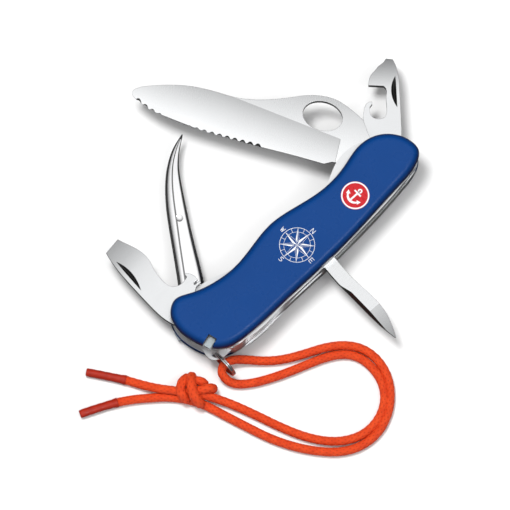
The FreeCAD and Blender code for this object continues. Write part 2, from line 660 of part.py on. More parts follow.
def make_springs():
    rivets = RIVET_HOLES
    # blade spring: nose under the blade's tang, then along the back to the ring end
    arc, left, right = nose(PIVOT, 250.0, 298.0)
    strip = back_strip(50.0, -45.0)
    edges = [arc] + outline((right, (50.0, -3.6), strip[0]), strip,
                            (strip[-1], (-45.0, -11.0)),
                            [(-45.0, -11.0), (-30.0, -10.4), (-12.0, -9.3), (3.3, -8.3), (20.0, -9.0),
                             (33.0, -7.6), (39.5, -5.2), left])
    plate("blade_spring", edges, "Sizes.bay_blade", Z_BLADE, rivets)

    # opener spring: a nose at each end, arched over the closed reamer
    arc, left, right = nose(PIVOT, 250.0, 298.0)
    ring_arc, ring_left, ring_right = nose(RING_PIVOT, 242.0, 298.0)
    strip = back_strip(-0.8, -45.0)
    over_reamer = [(49.0, -8.2), (44.0, -8.6), (38.0, -6.9), (31.5, -5.9), (25.0, -5.6), (17.0, -6.2), (10.0, -6.9),
                   (3.3, -6.9), (0.4, -8.3), (-0.5, -10.8), strip[0]]
    edges = [arc] + outline((right, (50.0, -3.6), (49.0, -8.2)), over_reamer, strip,
                            (strip[-1], (-48.6, -10.9), (-50.4, -8.5), (-52.3, -6.0), ring_left))
    edges.append(ring_arc)
    edges += outline([ring_right, (-43.6, -7.6), (-40.5, -10.3), (-31.0, -10.5), (-22.0, -8.6), (-12.0, -5.6),
                      (0.0, -3.6), (12.0, -3.4), (24.0, -4.0), (32.0, -4.1), (38.0, -3.7), left])
    plate("opener_spring", edges, "Sizes.bay_opener", Z_OPENER, [(SPRING_RIVET, RIVET_HOLE)])

    # spike spring: nose under the spike's tang at the ring end
    strip = back_strip(50.0, -45.0)
    edges = [ring_arc] + outline([ring_right, (-43.6, -7.6), (-38.0, -10.2), (-25.0, -10.0), (-12.0, -9.2),
                                  (3.3, -8.2), (25.0, -8.4), (50.0, -5.0)],
                                 ((50.0, -5.0), strip[0]), strip,
                                 (strip[-1], (-48.6, -10.9), (-50.4, -8.5), (-52.3, -6.0), ring_left))
    plate("spike_spring", edges, "Sizes.bay_spike", Z_SPIKE, rivets)


# ---------------------------------------------------------------- pins
def pin(name, centre, radius):
    """A headed pin: a shank through every layer and a flat head sunk in each scale."""
    low = height(Z_BACK_PLATE)
    shank = doc.addObject("Part::Cylinder", name + "_shank")
    shank.setExpression("Radius", radius)
    shank.Height = FRONT_FACE - low
    shank.Placement.Base = V(centre[0], centre[1], low)
    heads = []
    for side, bottom in (("back", low - HEAD_THICK), ("front", FRONT_FACE)):
        head = doc.addObject("Part::Cylinder", "%s_%s_head" % (name, side))
        head.Radius = HEAD_RADIUS
        head.Height = HEAD_THICK
        head.Placement.Base = V(centre[0], centre[1], bottom)
        heads.append(head)
    whole = doc.addObject("Part::MultiFuse", name + "_whole")
    whole.Shapes = [shank] + heads
    pieces[name] = whole


BUSH_RADIUS = 3.6


def make_pins():
    pin("blade_pivot_pin", PIVOT, "Sizes.pin_radius")
    pin("ring_end_pivot_pin", RING_PIVOT, "Sizes.pin_radius")
    pin("reamer_rivet", REAMER_PIVOT, "Sizes.rivet_radius")
    pin("spring_rivet", SPRING_RIVET, "Sizes.rivet_radius")
    bush = doc.addObject("Part::Cylinder", "bush_outside")
    bush.Radius = BUSH_RADIUS
    bush.setExpression("Height", "Sizes.bay_spike")
    bush.Placement.Base = V(PIVOT[0], PIVOT[1], 0)
    bush.setExpression("Placement.Base.z", Z_SPIKE)
    bore = cylinder("bush_bore", PIVOT, PIN_HOLE, Z_SPIKE, "Sizes.bay_spike")
    cut("pivot_bushing", bush, [bore])


# ---------------------------------------------------------------- toothpick, tweezers, emblem
PICK_FRAME = tool_frame((-53.0, -8.0), 16.0)
PICK_LENGTH, PICK_HEAD, PICK_WIDE, PICK_HEAD_WIDE = 46.0, 3.3, 2.3, 2.7
PICK_THICK, PICK_HEAD_THICK = 1.3, 1.8
TWEEZER_FRAME = tool_frame((-56.7, 4.8), -14.0)
TWEEZER_LENGTH, TWEEZER_HEAD, TWEEZER_WIDE = 44.0, 4.2, 3.3
TWEEZER_LOW, TWEEZER_HIGH, ARM_THICK = 1.9, 3.3, 0.45
SLIDE_PLAY = 0.12
EMBLEM = (25.3, -2.5)
EMBLEM_RADIUS, EMBLEM_THICK, EMBLEM_PROUD = 5.3, 0.8, 0.06


def framed_box(name, frame, x_range, half_wide, low, high):
    return box(name, (x_range[0], -half_wide, low),
               (x_range[1] - x_range[0], 2 * half_wide, high - low), frame)


def make_toothpick():
    low = FRONT_FACE + SLIDE_PLAY / 2.0
    half = PICK_WIDE / 2.0
    shape = ((PICK_HEAD - 0.2, -half), (PICK_LENGTH - 9.0, -half), (PICK_LENGTH, -0.25), (PICK_LENGTH, 0.25),
             (PICK_LENGTH - 9.0, half), (PICK_HEAD - 0.2, half), (PICK_HEAD - 0.2, -half))
    shaft = cutter("toothpick_shaft", outline(shape), low, low + PICK_THICK)
    shaft.Placement = PICK_FRAME
    shaft.Placement.Base.z = low
    head = framed_box("toothpick_head", PICK_FRAME, (0.0, PICK_HEAD), PICK_HEAD_WIDE / 2.0,
                      low, low + PICK_HEAD_THICK)
    whole = doc.addObject("Part::MultiFuse", "toothpick_whole")
    whole.Shapes = [shaft, head]
    pieces["toothpick"] = whole


def make_tweezers():
    cap = framed_box("tweezer_cap_block", TWEEZER_FRAME, (0.0, TWEEZER_HEAD), TWEEZER_WIDE / 2.0,
                     TWEEZER_LOW, TWEEZER_HIGH)
    arms = []
    half, tip = TWEEZER_WIDE / 2.0 - 0.2, 0.6
    shape = ((TWEEZER_HEAD - 3.0, -half), (TWEEZER_LENGTH - 14.0, -half), (TWEEZER_LENGTH, -tip),
             (TWEEZER_LENGTH, tip), (TWEEZER_LENGTH - 14.0, half), (TWEEZER_HEAD - 3.0, half),
             (TWEEZER_HEAD - 3.0, -half))
    for number, low in enumerate((TWEEZER_LOW + 0.1, TWEEZER_HIGH - ARM_THICK - 0.1)):
        arm = cutter("tweezer_arm_%d" % number, outline(shape), low, low + ARM_THICK)
        arm.Placement = TWEEZER_FRAME
        arm.Placement.Base.z = low
        arms.append(arm)
    both = doc.addObject("Part::Compound", "tweezer_arm_pair")
    both.Links = arms
    pieces["tweezer_arms"] = both
    cut("tweezer_cap", cap, arms)


def make_scales():
    front, back = scale("front_scale", True), scale("back_scale", False)
    low = FRONT_FACE
    front_tools = head_recesses("front_scale", low - 1, low + HEAD_THICK + RECESS_PLAY)
    front_tools.append(tongue_room("blade_lock_room", BLADE_TONGUE, 1, 2 * SLOT, low - 1, low + LIFT_ROOM))
    wide = PICK_WIDE / 2.0 + SLIDE_PLAY
    front_tools.append(framed_box("toothpick_slot", PICK_FRAME, (-9.0, PICK_LENGTH + 0.5), wide,
                                  low - 1, low + PICK_THICK + SLIDE_PLAY))
    notch_wide = PICK_HEAD_WIDE / 2.0 + 0.4
    front_tools.append(framed_box("toothpick_notch", PICK_FRAME, (-9.0, PICK_HEAD + 0.8), notch_wide,
                                  low - 1, low + 9.0))
    pocket = doc.addObject("Part::Cylinder", "emblem_pocket")
    pocket.Radius = EMBLEM_RADIUS + 0.05
    pocket.Height = 5.0
    pocket.Placement.Base = V(EMBLEM[0], EMBLEM[1], FRONT_TOP + EMBLEM_PROUD - EMBLEM_THICK)
    front_tools.append(pocket)
    cut("front_scale", front, front_tools)

    back_face = size("scale_thick")
    back_tools = head_recesses("back_scale", back_face - HEAD_THICK - RECESS_PLAY, back_face + 1)
    back_tools.append(framed_box("tweezer_slot", TWEEZER_FRAME, (-6.0, TWEEZER_LENGTH + 0.5),
                                 TWEEZER_WIDE / 2.0 + SLIDE_PLAY, TWEEZER_LOW - 0.08, TWEEZER_HIGH + 0.08))
    cut("back_scale", back, back_tools)

    emblem = doc.addObject("Part::Cylinder", "emblem_disc")
    emblem.Radius = EMBLEM_RADIUS
    emblem.Height = EMBLEM_THICK
    emblem.Placement.Base = V(EMBLEM[0], EMBLEM[1], FRONT_TOP + EMBLEM_PROUD - EMBLEM_THICK)
    pieces["emblem_inlay"] = emblem


# ---------------------------------------------------------------- key ring
RING_CENTRE = (-51.05, -15.39, 8.05)
RING_HEADING = -88.0        # the ring's plane is upright and points this way, away from the handle
RING_PITCH = 1.9                                    # spacing of the two turns, in wire radii
RING_TURN = 355.0                                   # degrees each turn goes round before its gap


def make_key_ring():
    """A split ring: two turns of wire side by side, each with a narrow gap at its own end."""
    wire = size("ring_wire")
    turns = []
    for side, starts_at in ((-1, 100.0), (1, 128.0)):
        turn = doc.addObject("Part::Torus", "key_ring_turn")
        turn.Radius1, turn.Radius2, turn.Angle3 = size("ring_radius"), wire, RING_TURN
        turn.Placement = FreeCAD.Placement(V(0, 0, side * RING_PITCH * wire / 2.0),
                                           FreeCAD.Rotation(V(0, 0, 1), starts_at))
        turns.append(turn)
    ring = doc.addObject("Part::MultiFuse", "key_ring_wire")
    ring.Shapes = turns
    upright = FreeCAD.Rotation(V(0, 0, 1), RING_HEADING).multiply(FreeCAD.Rotation(V(1, 0, 0), 90.0))
    ring.Placement = FreeCAD.Placement(V(*RING_CENTRE), upright)
    pieces["key_ring"] = ring


# ---------------------------------------------------------------- lanyard
BIGHT = (-50.6, -14.9, 5.4)     # where the cord passes through the key ring
# Each strand runs from the bight round the loop, through the knot, to its shrunk end.
OUTER_STRAND = [BIGHT, (-47.6, -15.2, 4.8), (-43.5, -18.4, 2.8), (-38.2, -23.8, 1.8), (-32.4, -28.0, 1.7),
                (-25.5, -31.4, 1.7), (-18.6, -34.4, 1.7), (-12.6, -38.4, 1.7), (-8.5, -43.6, 1.7),
                (-6.9, -50.0, 1.7), (-8.0, -57.2, 1.7), (-11.8, -63.6, 1.7), (-17.8, -68.8, 1.7),
                (-25.5, -71.7, 1.7), (-33.8, -71.1, 1.7), (-40.8, -67.5, 1.7), (-46.4, -62.0, 1.7),
                (-51.6, -55.2, 1.7), (-56.4, -46.6, 1.7), (-60.2, -36.6, 1.7), (-63.4, -27.8, 1.7),
                (-66.0, -20.6, 1.7), (-69.6, -14.6, 1.7), (-74.0, -9.6, 1.7), (-79.4, -5.3, 1.7),
                (-84.4, -1.5, 1.7), (-89.0, 1.2, 1.76)]
INNER_STRAND = [BIGHT, (-53.4, -15.6, 5.0), (-54.0, -19.4, 3.2), (-52.2, -23.0, 1.9), (-47.6, -26.5, 1.7),
                (-41.6, -29.6, 1.7), (-34.8, -32.4, 1.7), (-27.6, -34.9, 1.7), (-20.8, -37.4, 1.7),
                (-15.0, -40.8, 1.7), (-11.3, -45.8, 1.7), (-10.4, -52.2, 1.7), (-11.6, -58.8, 1.7),
                (-15.4, -64.4, 1.7), (-21.6, -67.9, 1.7), (-28.8, -68.6, 1.7), (-35.6, -66.2, 1.7),
                (-41.4, -61.6, 1.7), (-46.6, -54.4, 1.7), (-50.8, -45.6, 1.7), (-54.4, -36.4, 1.7),
                (-57.8, -28.4, 1.8), (-61.6, -21.6, 3.2), (-65.8, -15.6, 4.6), (-70.2, -10.6, 4.2),
                (-74.4, -5.6, 3.4), (-77.8, -0.4, 2.1), (-81.2, 5.4, 1.76)]
OUTER_END = [(-89.0, 1.2, 1.76), (-95.6, 4.4, 1.8), (-102.4, 7.2, 1.8)]
INNER_END = [(-81.2, 5.4, 1.76), (-85.4, 11.4, 1.8), (-90.1, 17.5, 1.8)]
KNOT_CENTRE = (-65.8, -15.6, 4.4)
KNOT_HALF = (8.0, 6.6, 4.4)
KNOT_ANGLE = -42.0
BEND_SHARE = 0.45               # of the shorter run beside a bend is given to its arc


def cord_path(points):
    """Straight runs joined by tangent arcs, with the arcs' radii."""
    edges, radii = [], []
    here = V(*points[0])
    for before, at, after in zip(points, points[1:], points[2:]):
        before, at, after = V(*before), V(*at), V(*after)
        back, ahead = (before - at), (after - at)
        turn = math.pi - back.getAngle(ahead)
        reach = BEND_SHARE * min(back.Length, ahead.Length)
        radii.append(reach / math.tan(turn / 2.0))
        back, ahead = back.normalize(), ahead.normalize()
        start, end = at + back * reach, at + ahead * reach
        inwards = (back + ahead).normalize()
        radius = radii[-1]
        middle = at + inwards * (radius / math.cos(turn / 2.0) - radius)
        edges.append(Part.LineSegment(here, start).toShape())
        edges.append(Part.Arc(start, middle, end).toShape())
        here = end
    edges.append(Part.LineSegment(here, V(*points[-1])).toShape())
    return Part.Wire(edges), radii


def tube(name, points, radius):
    path, radii = cord_path(points)
    heading = (V(*points[1]) - V(*points[0])).normalize()
    section = Part.Wire(Part.makeCircle(radius, V(*points[0]), heading))
    shape = path.makePipeShell([section], True, False)
    solid = doc.addObject("Part::Feature", name + "_tube")
    solid.Shape = shape
    expected = math.pi * radius ** 2 * path.Length
    print("%s length %.1f volume %.1f expected %.1f radii %s"
          % (name, path.Length, shape.Volume, expected, [round(r, 1) for r in radii]))
    pieces[name] = solid
    return solid


def make_lanyard():
    cord, tip = size("cord_radius"), size("tip_radius")
    tube("lanyard_outer_strand", OUTER_STRAND, cord)
    tube("lanyard_inner_strand", INNER_STRAND, cord)
    tube("outer_end_sleeve", OUTER_END, tip)
    tube("inner_end_sleeve", INNER_END, tip)
    knot = doc.addObject("Part::Ellipsoid", "knot_bulk")
    knot.Radius1, knot.Radius2, knot.Radius3 = KNOT_HALF[2], KNOT_HALF[0], KNOT_HALF[1]
    knot.Placement = FreeCAD.Placement(V(*KNOT_CENTRE), FreeCAD.Rotation(V(0, 0, 1), KNOT_ANGLE))
    pieces["lanyard_knot"] = knot


# ---------------------------------------------------------------- build, check and write
for make in (make_scales, make_liners, make_springs, make_pins, make_main_blade, make_can_opener,
             make_bottle_opener, make_reamer, make_marlin_spike, make_toothpick, make_tweezers,
             make_key_ring, make_lanyard):
    make()
for name, piece in pieces.items():
    piece.Label = name
doc.recompute()

for thing in doc.Objects:
    if "Invalid" in thing.State or "Error" in thing.State:
        raise RuntimeError("%s is %s" % (thing.Label, thing.State))
for name, piece in pieces.items():
    if piece.Shape.isNull() or not piece.Shape.isValid() or not piece.Shape.Solids:
        raise RuntimeError("%s has no valid solid" % name)
for name, piece in pieces.items():
    piece.Shape.exportStep("parts/%s.step" % name)
    again = Part.read("parts/%s.step" % name)
    print("%-22s solids %d volume %8.1f" % (name, len(again.Solids), again.Volume))
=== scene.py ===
import math

import bmesh
import bpy
from mathutils import Matrix, Vector


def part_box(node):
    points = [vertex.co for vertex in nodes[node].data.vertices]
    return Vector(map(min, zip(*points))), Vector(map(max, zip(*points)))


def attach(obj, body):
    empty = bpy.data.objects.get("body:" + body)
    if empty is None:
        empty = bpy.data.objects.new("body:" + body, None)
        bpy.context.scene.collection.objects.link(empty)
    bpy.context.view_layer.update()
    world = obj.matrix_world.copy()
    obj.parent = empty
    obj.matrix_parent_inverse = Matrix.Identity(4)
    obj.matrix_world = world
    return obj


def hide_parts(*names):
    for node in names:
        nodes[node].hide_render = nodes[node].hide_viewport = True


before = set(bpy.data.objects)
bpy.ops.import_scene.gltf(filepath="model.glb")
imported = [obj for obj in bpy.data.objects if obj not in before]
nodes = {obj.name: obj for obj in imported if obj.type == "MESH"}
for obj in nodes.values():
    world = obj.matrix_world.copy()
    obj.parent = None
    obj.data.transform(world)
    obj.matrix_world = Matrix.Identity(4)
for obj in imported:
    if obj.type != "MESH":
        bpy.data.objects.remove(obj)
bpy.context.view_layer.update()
scene = bpy.context.scene
MM = 0.001


def metres(points):
    return [Vector(p) * MM for p in points]


# ---------------------------------------------------------------- camera
# The view is from nearly straight above, and the handle runs up to the right in it.
YAW, TILT = math.radians(42.0), math.radians(12.5)
RIGHT = Vector((math.cos(YAW), -math.sin(YAW), 0))
BACK = Vector((-math.sin(YAW) * math.sin(TILT), -math.cos(YAW) * math.sin(TILT), math.cos(TILT)))
UP = BACK.cross(RIGHT)
AIM = Vector((-16.5, 6.2, 17.0)) * MM
FIELD = 187.7 * MM              # width of the view at the knife
DISTANCE = 3.0
SENSOR_WIDTH = 36.0


def make_camera():
    data = bpy.data.cameras.new("camera")
    data.sensor_width = SENSOR_WIDTH
    data.lens = SENSOR_WIDTH * DISTANCE / FIELD
    camera = bpy.data.objects.new("camera", data)
    turn = Matrix((RIGHT, UP, BACK)).transposed()
    camera.matrix_world = Matrix.Translation(AIM + BACK * DISTANCE) @ turn.to_4x4()
    scene.collection.objects.link(camera)
    scene.camera = camera


# ---------------------------------------------------------------- shader helpers
def put(tree, kind, inputs=None, **settings):
    """Adds a node, sets its options, and sets or links its inputs."""
    node = tree.nodes.new(kind)
    for key, value in settings.items():
        setattr(node, key, value)
    for key, value in (inputs or {}).items():
        if isinstance(value, bpy.types.NodeSocket):
            tree.links.new(value, node.inputs[key])
        else:
            node.inputs[key].default_value = value
    return node


def new_material(name, colour, metallic=0.0, roughness=0.4):
    material = bpy.data.materials.new(name)
    material.use_nodes = True
    tree = material.node_tree
    shader = tree.nodes["Principled BSDF"]
    shader.inputs["Base Color"].default_value = (*colour, 1.0)
    shader.inputs["Metallic"].default_value = metallic
    shader.inputs["Roughness"].default_value = roughness
    return material, tree, shader


def local(tree, heading=0.0, stretch=(1.0, 1.0, 1.0)):
    """The piece's own coordinates, turned about Z and stretched."""
    coords = put(tree, "ShaderNodeTexCoord")
    turned = put(tree, "ShaderNodeMapping", {"Vector": coords.outputs["Object"],
                                             "Rotation": (0, 0, -math.radians(heading))})
    return put(tree, "ShaderNodeMapping", {"Vector": turned.outputs[0], "Scale": stretch}).outputs[0]


def noise(tree, vector, scale, detail=3.0, roughness=0.5):
    """Uneven tone, with this many spots in a metre."""
    return put(tree, "ShaderNodeTexNoise", {"Vector": vector, "Scale": scale, "Detail": detail,
                                            "Roughness": roughness}).outputs["Fac"]


def spread(tree, value, low, high, lowest=0.3, highest=0.7):
    """Maps a value from lowest..highest to low..high."""
    return put(tree, "ShaderNodeMapRange", {"Value": value, "From Min": lowest, "From Max": highest,
                                            "To Min": low, "To Max": high}).outputs["Result"]


def mixed(tree, factor, first, second):
    """The first colour where the factor is 0, the second where it is 1."""
    node = put(tree, "ShaderNodeMix", data_type="RGBA")
    for socket, value in ((node.inputs[0], factor), (node.inputs[6], first), (node.inputs[7], second)):
        if isinstance(value, bpy.types.NodeSocket):
            tree.links.new(value, socket)
        else:
            socket.default_value = value if socket == node.inputs[0] else (*value, 1.0)
    return node.outputs[2]


def bump(tree, height, strength, distance, normal=None):
    """A surface normal for small relief, on top of another one if given."""
    inputs = {"Height": height, "Strength": strength, "Distance": distance}
    if normal is not None:
        inputs["Normal"] = normal
    return put(tree, "ShaderNodeBump", inputs).outputs["Normal"]


def levelness(tree):
    """1 where the surface lies level, 0 where it stands upright."""
    normal = put(tree, "ShaderNodeTexCoord").outputs["Normal"]
    upward = put(tree, "ShaderNodeSeparateXYZ", {0: normal}).outputs["Z"]
    return put(tree, "ShaderNodeMath", {0: upward}, operation="ABSOLUTE").outputs[0]


def scratches(tree, vector, scale, width=0.02):
    """Thin broken lines, from the places where a noise crosses its middle."""
    warp = noise(tree, vector, scale * 0.15, detail=2.0)
    lines = noise(tree, vector, scale, detail=1.0)
    near = put(tree, "ShaderNodeMath", {0: lines, 1: 0.5}, operation="SUBTRACT").outputs[0]
    size = put(tree, "ShaderNodeMath", {0: near}, operation="ABSOLUTE").outputs[0]
    thin = spread(tree, size, 1.0, 0.0, lowest=0.0, highest=width)
    broken = spread(tree, warp, 0.0, 1.0, lowest=0.52, highest=0.6)
    return put(tree, "ShaderNodeMath", {0: thin, 1: broken}, operation="MULTIPLY").outputs[0]


# ---------------------------------------------------------------- materials
def plastic(name, colour, rim, roughness=0.34, specular=0.3):
    """Moulded nylon: painted shade round the rim in a darker colour, fine grain, uneven shine and faint
    scuffs.
    """
    material, tree, shader = new_material(name, colour, 0.0, roughness)
    where = local(tree)
    cloud = noise(tree, where, scale=45.0)
    cloudy = mixed(tree, spread(tree, cloud, 0.0, 1.0), tuple(c * 0.93 for c in colour), colour)
    # painted shade: the rim colour is mixed in where the surface stands upright
    deep = spread(tree, levelness(tree), 1.0, 0.0, lowest=0.3, highest=0.96)
    tree.links.new(mixed(tree, deep, cloudy, rim), shader.inputs["Base Color"])
    worn = noise(tree, where, scale=150.0, detail=4.0)
    tree.links.new(spread(tree, worn, roughness - 0.05, roughness + 0.06), shader.inputs["Roughness"])
    grain = noise(tree, where, scale=7000.0, detail=2.0)
    scuffs = scratches(tree, local(tree, heading=25.0, stretch=(1.0, 0.12, 1.0)), scale=900.0)
    grained = bump(tree, grain, strength=0.12, distance=0.03 * MM)
    scuffed = bump(tree, scuffs, strength=0.06, distance=0.02 * MM, normal=grained)
    tree.links.new(scuffed, shader.inputs["Normal"])
    shader.inputs["Specular IOR Level"].default_value = specular
    return material


LENGTHWISE = (1.0, 24.0, 24.0)      # stretch of the grinding lines along a heading
CROSSWISE = (24.0, 1.0, 1.0)        # and across it
LATHE = (8.0, 8.0, 1.0)             # and round a pin


def steel(name, colour, roughness=0.24, heading=0.0, lines=LENGTHWISE, strength=0.03, tone=0.03,
          crown=None, edge=0.0, shade=None, wall_shade=None):
    """Brushed or polished steel: fine grinding lines one way and uneven polish. If asked, it has a crowned
    face, edges rounded by this many mm, and painted shade on ground faces, on leaning faces and in nicks."""
    material, tree, shader = new_material(name, colour, 1.0, roughness)
    brushed = noise(tree, local(tree, heading, lines), scale=260.0, detail=5.0, roughness=0.65)
    polish = noise(tree, local(tree), scale=90.0)
    low = tuple(c * (1.0 - tone) for c in colour)
    high = tuple(min(1.0, c * (1.0 + tone)) for c in colour)
    base = mixed(tree, spread(tree, brushed, 0.0, 1.0), low, high)
    # painted shade on the ground faces, in place of their reflections
    if shade:
        base = shaded(tree, base, *shade)
    if wall_shade:
        # painted shade: faces that lean away from level take the dim tone
        dim, from_level, to_level = wall_shade
        level = spread(tree, levelness(tree), 0.0, 1.0, from_level, to_level)
        base = mixed(tree, level, (dim, dim, dim), base)
    tree.links.new(base, shader.inputs["Base Color"])
    both = put(tree, "ShaderNodeMath", {0: brushed, 1: polish}, operation="ADD").outputs[0]
    shine = spread(tree, both, roughness * 0.85, roughness * 1.15, lowest=0.7, highest=1.3)
    tree.links.new(shine, shader.inputs["Roughness"])
    normal = None
    if edge:
        normal = put(tree, "ShaderNodeBevel", {"Radius": edge * MM}, samples=6).outputs["Normal"]
    if crown:
        normal = crowned(tree, normal, heading, *crown)
    tree.links.new(bump(tree, brushed, strength, 0.01 * MM, normal), shader.inputs["Normal"])
    return material


def shaded(tree, base, heading, axis, stops, start=None):
    """Painted shade on ground faces along a direction, in place of their reflections: each stop is a place in
    mm and a share of the full tone.
    A start, if given, is a heading, an axis and the place in mm where the grind begins."""
    places = [place for place, _ in stops]
    where = put(tree, "ShaderNodeSeparateXYZ", {0: local(tree, heading)}).outputs[axis]
    share = spread(tree, where, 0.0, 1.0, places[0] * MM, places[-1] * MM)
    ramp = put(tree, "ShaderNodeValToRGB", {"Fac": share})
    dots = ramp.color_ramp.elements
    while len(dots) < len(stops):
        dots.new(0.5)
    for dot, place in zip(dots, places):
        dot.position = (place - places[0]) / (places[-1] - places[0])
    for dot, (_, tone) in zip(dots, stops):
        dot.color = (tone, tone, tone, 1.0)
    node = put(tree, "ShaderNodeMix", data_type="RGBA", blend_type="MULTIPLY")
    node.inputs[0].default_value = 1.0
    if start:
        start_heading, start_axis, start_place = start
        along = put(tree, "ShaderNodeSeparateXYZ", {0: local(tree, start_heading)}).outputs[start_axis]
        begun = put(tree, "ShaderNodeMath", {0: along, 1: start_place * MM}, operation="GREATER_THAN")
        tree.links.new(begun.outputs[0], node.inputs[0])
    tree.links.new(base, node.inputs[6])
    tree.links.new(ramp.outputs["Color"], node.inputs[7])
    return node.outputs[2]


def crowned(tree, normal, heading, middle, half_width, lean):
    """The normal of a face that leans this many degrees each way at its edges, as a convex grind does."""
    across = put(tree, "ShaderNodeSeparateXYZ", {0: local(tree, heading)}).outputs["Y"]
    off = put(tree, "ShaderNodeMath", {0: across, 1: middle * MM}, operation="SUBTRACT").outputs[0]
    square = put(tree, "ShaderNodeMath", {0: off, 1: off}, operation="MULTIPLY").outputs[0]
    fall = -math.tan(math.radians(lean)) / (2.0 * half_width * MM)
    height = put(tree, "ShaderNodeMath", {0: square, 1: fall}, operation="MULTIPLY").outputs[0]
    return bump(tree, height, strength=1.0, distance=1.0, normal=normal)


def cord_material():
    """Braided polyester: each strand's fibres, and painted shade in the gaps between strands."""
    bright, gap_shade = (0.66, 0.056, 0.014), (0.10, 0.005, 0.002)
    pale, bright_fibre, ruddy = (0.60, 0.048, 0.010), (0.74, 0.078, 0.017), (0.46, 0.028, 0.006)
    material, tree, shader = new_material("cord_braid", bright, roughness=0.7)
    strand = put(tree, "ShaderNodeAttribute", attribute_name="strand")
    # painted shade: the deeper a spot lies in the braid's gaps, the darker it is painted
    depth = put(tree, "ShaderNodeAttribute", attribute_name="depth").outputs["Fac"]
    fibres = put(tree, "ShaderNodeMapping", {"Vector": strand.outputs["Vector"], "Scale": (16.0, 1.6, 1.0)})
    fibre = noise(tree, fibres.outputs[0], scale=1.0, detail=4.0, roughness=0.6)
    tone = noise(tree, local(tree), scale=420.0)
    light = mixed(tree, spread(tree, tone, 0.0, 1.0), pale, bright_fibre)
    lined = mixed(tree, spread(tree, fibre, 0.0, 0.35), light, ruddy)
    tree.links.new(mixed(tree, depth, lined, gap_shade), shader.inputs["Base Color"])
    tree.links.new(bump(tree, fibre, strength=0.5, distance=0.06 * MM), shader.inputs["Normal"])
    tree.links.new(spread(tree, fibre, 0.6, 0.8), shader.inputs["Roughness"])
    shader.inputs["Specular IOR Level"].default_value = 0.25
    return material


def sleeve_material():
    """The sealed cord ends: smooth, glossier and darker than the braid."""
    colour, darker = (0.38, 0.020, 0.006), (0.30, 0.014, 0.005)
    material, tree, shader = new_material("cord_sleeve", colour, roughness=0.3)
    where = local(tree)
    tone = spread(tree, noise(tree, where, scale=500.0), 0.0, 1.0)
    tree.links.new(mixed(tree, tone, darker, colour), shader.inputs["Base Color"])
    lumps = noise(tree, where, scale=1500.0)
    tree.links.new(bump(tree, lumps, strength=0.2, distance=0.1 * MM), shader.inputs["Normal"])
    shader.inputs["Specular IOR Level"].default_value = 0.4
    return material


def print_material(name, colour, roughness=0.5):
    """A printed or enamelled mark, with slight unevenness in tone and surface."""
    material, tree, shader = new_material(name, colour, 0.0, roughness)
    where = local(tree)
    tone = noise(tree, where, scale=700.0)
    darker = tuple(c * 0.9 for c in colour)
    tree.links.new(mixed(tree, spread(tree, tone, 0.0, 1.0), darker, colour), shader.inputs["Base Color"])
    grain = noise(tree, where, scale=4000.0, detail=2.0)
    tree.links.new(bump(tree, grain, strength=0.1, distance=0.03 * MM), shader.inputs["Normal"])
    tree.links.new(spread(tree, tone, roughness * 0.85, roughness * 1.15), shader.inputs["Roughness"])
    shader.inputs["Specular IOR Level"].default_value = 0.3
    return material


# The second colour given to each plastic below is painted shade round its rim.
NYLON, NYLON_SHADED_RIM = (0.34, 0.38, 0.40), (0.25, 0.28, 0.30)
BLUE = plastic("scale_blue", (0.0016, 0.0440, 0.1980), (0.0012, 0.0060, 0.0400),
               roughness=0.28, specular=0.18)
# The back scale is a darker copy of the blue: painted shade for the side that lies underneath.
SHADED_BACK_BLUE = plastic("scale_blue_back_shaded", (0.0016, 0.0200, 0.0900), (0.0012, 0.0060, 0.0380),
                    roughness=0.36, specular=0.12)
PICK = plastic("toothpick_nylon", NYLON, NYLON_SHADED_RIM, roughness=0.42)
CAP = plastic("tweezer_cap_nylon", NYLON, NYLON_SHADED_RIM, roughness=0.42)
LINER = steel("liner_steel", (0.82, 0.83, 0.84), roughness=0.36)
SPRING = steel("spring_steel", (0.70, 0.71, 0.72), roughness=0.38)
BRASS = steel("pin_brass", (0.78, 0.56, 0.24), roughness=0.22, lines=LATHE)
NICKEL = steel("bushing_steel", (0.70, 0.70, 0.71), roughness=0.2, lines=LATHE)
# Each tool's own heading, in degrees, and the painted shade of its ground faces, at places in mm along or
# across it.
WALL_SHADE = (0.09, 0.90, 0.975)     # painted shade on leaning faces: its tone, and how level a face is where that shade ends and fades out
BLADE = steel("blade_steel", (0.90, 0.91, 0.92), roughness=0.26, heading=125.0, lines=CROSSWISE,
              strength=0.02, tone=0.012, crown=(-35.0, 9.0, 5.0), edge=0.2, wall_shade=WALL_SHADE,
              shade=(116.0, "Y", ((-42.0, 1.0), (-40.75, 1.0), (-40.5, 0.58), (-35.0, 0.74), (-27.0, 0.94)),
                     (125.0, "X", -6.33)))
CAN = steel("can_opener_steel", (0.76, 0.77, 0.78), heading=48.5, lines=CROSSWISE, edge=0.25, wall_shade=WALL_SHADE,
            shade=(48.5, "X", ((55.0, 1.0), (59.0, 0.88), (63.0, 0.70), (69.0, 0.44))))
BOTTLE = steel("bottle_opener_steel", (0.76, 0.77, 0.78), heading=92.0, lines=CROSSWISE, edge=0.25,
               wall_shade=WALL_SHADE, shade=(92.0, "X", ((24.0, 1.0), (34.0, 0.90), (40.0, 0.70), (47.0, 0.52))))
REAMER = steel("reamer_steel", (0.74, 0.75, 0.76), roughness=0.2, heading=-90.0, lines=CROSSWISE, edge=0.2,
               wall_shade=WALL_SHADE, shade=(-90.0, "X", ((36.0, 1.0), (37.1, 1.0), (37.3, 0.72), (51.0, 0.38))))
